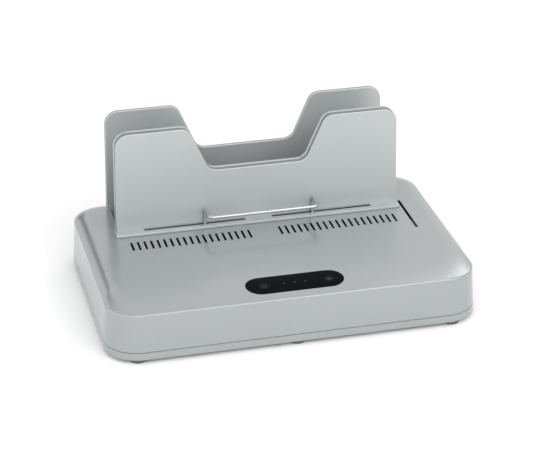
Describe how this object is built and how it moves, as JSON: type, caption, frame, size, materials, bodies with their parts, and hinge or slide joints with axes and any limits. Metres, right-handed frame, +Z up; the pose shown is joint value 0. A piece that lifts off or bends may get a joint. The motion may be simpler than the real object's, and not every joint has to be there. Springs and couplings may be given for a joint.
{
  "type": "thermal binding machine",
  "caption": "Desktop thermal binding machine: low silver base with a hot throat between a fixed rear plate and a sliding notched front plate.",
  "frame": {"origin": "on the floor under the middle of the base", "axes": "+X along the width, +Y to the rear, +Z up"},
  "size_m": [0.389, 0.263, 0.1724],
  "materials": {
    "silver_cover": "satin silver paint",
    "silver_panel": "satin silver paint",
    "bright_wire": "polished",
    "black_lens": "gloss",
    "black_button": "satin",
    "light_pipe": "smoked",
    "rubber": "matt",
    "zinc_steel": "zinc plated",
    "dark_steel": "black oxide",
    "ground_steel": "ground",
    "heater_alloy": "anodised",
    "sheet_steel": "galvanised",
    "element": "silicone",
    "mineral_board": "mineral board",
    "black_plastic": "moulded",
    "bronze_bush": "sintered",
    "circuit_board": "solder mask",
    "small_parts": "moulded",
    "plated_brass": "plated"
  },
  "bodies": {
    "base": {"bottom_pan": "silver_cover", "top_cover": "silver_cover", "case_screws": "zinc_steel", "rubber_feet": "rubber", "rear_panel": "silver_panel", "rear_panel_screws": "zinc_steel", "heater_plate": "heater_alloy", "heating_element": "element", "insulation_board": "mineral_board", "heater_tray": "sheet_steel", "tray_standoffs": "sheet_steel", "thermostat": "black_plastic", "thermal_fuse": "small_parts", "guide_rods": "ground_steel", "rod_brackets": "black_plastic", "end_bumpers": "rubber", "control_lens": "black_lens", "light_pipes": "light_pipe", "indicator_leds": "small_parts", "tact_switches": "black_plastic", "control_board": "circuit_board", "buzzer": "black_plastic", "board_screws": "zinc_steel", "power_board": "circuit_board", "transformer": "small_parts", "relay": "black_plastic", "smoothing_capacitor": "small_parts", "board_fuse": "small_parts", "mains_inlet": "black_plastic", "inlet_pins": "plated_brass", "switch_housing": "black_plastic"},
    "carriage": {"panel_foot": "silver_panel", "front_panel_face": "silver_panel", "front_panel_back": "silver_panel", "wire_handle": "bright_wire", "handle_push_nuts": "zinc_steel", "carriage_plate": "dark_steel", "carriage_screws": "zinc_steel", "block_screws": "zinc_steel", "guide_key": "dark_steel", "bush_blocks": "black_plastic", "slide_bushes": "bronze_bush"},
    "start_button": {"start_button": "black_button"},
    "mode_button": {"mode_button": "black_button"},
    "power_rocker": {"power_rocker": "black_plastic"}
  },
  "joints": [
    {"name": "panel_slide", "type": "slide", "parent": "base", "child": "carriage", "axis": [0, 1, 0], "range_m": [0, 0.045]},
    {"name": "start_press", "type": "slide", "parent": "base", "child": "start_button", "axis": [0, 0, -1], "range_m": [0, 0.0008], "stiffness_N_per_m": 1500},
    {"name": "mode_press", "type": "slide", "parent": "base", "child": "mode_button", "axis": [0, 0, -1], "range_m": [0, 0.0008], "stiffness_N_per_m": 1500},
    {"name": "rocker_tilt", "type": "hinge", "parent": "base", "child": "power_rocker", "pos_m": [-0.088, 0.1239, 0.027], "axis": [1, 0, 0], "range_deg": [0, 18]}
  ]
}
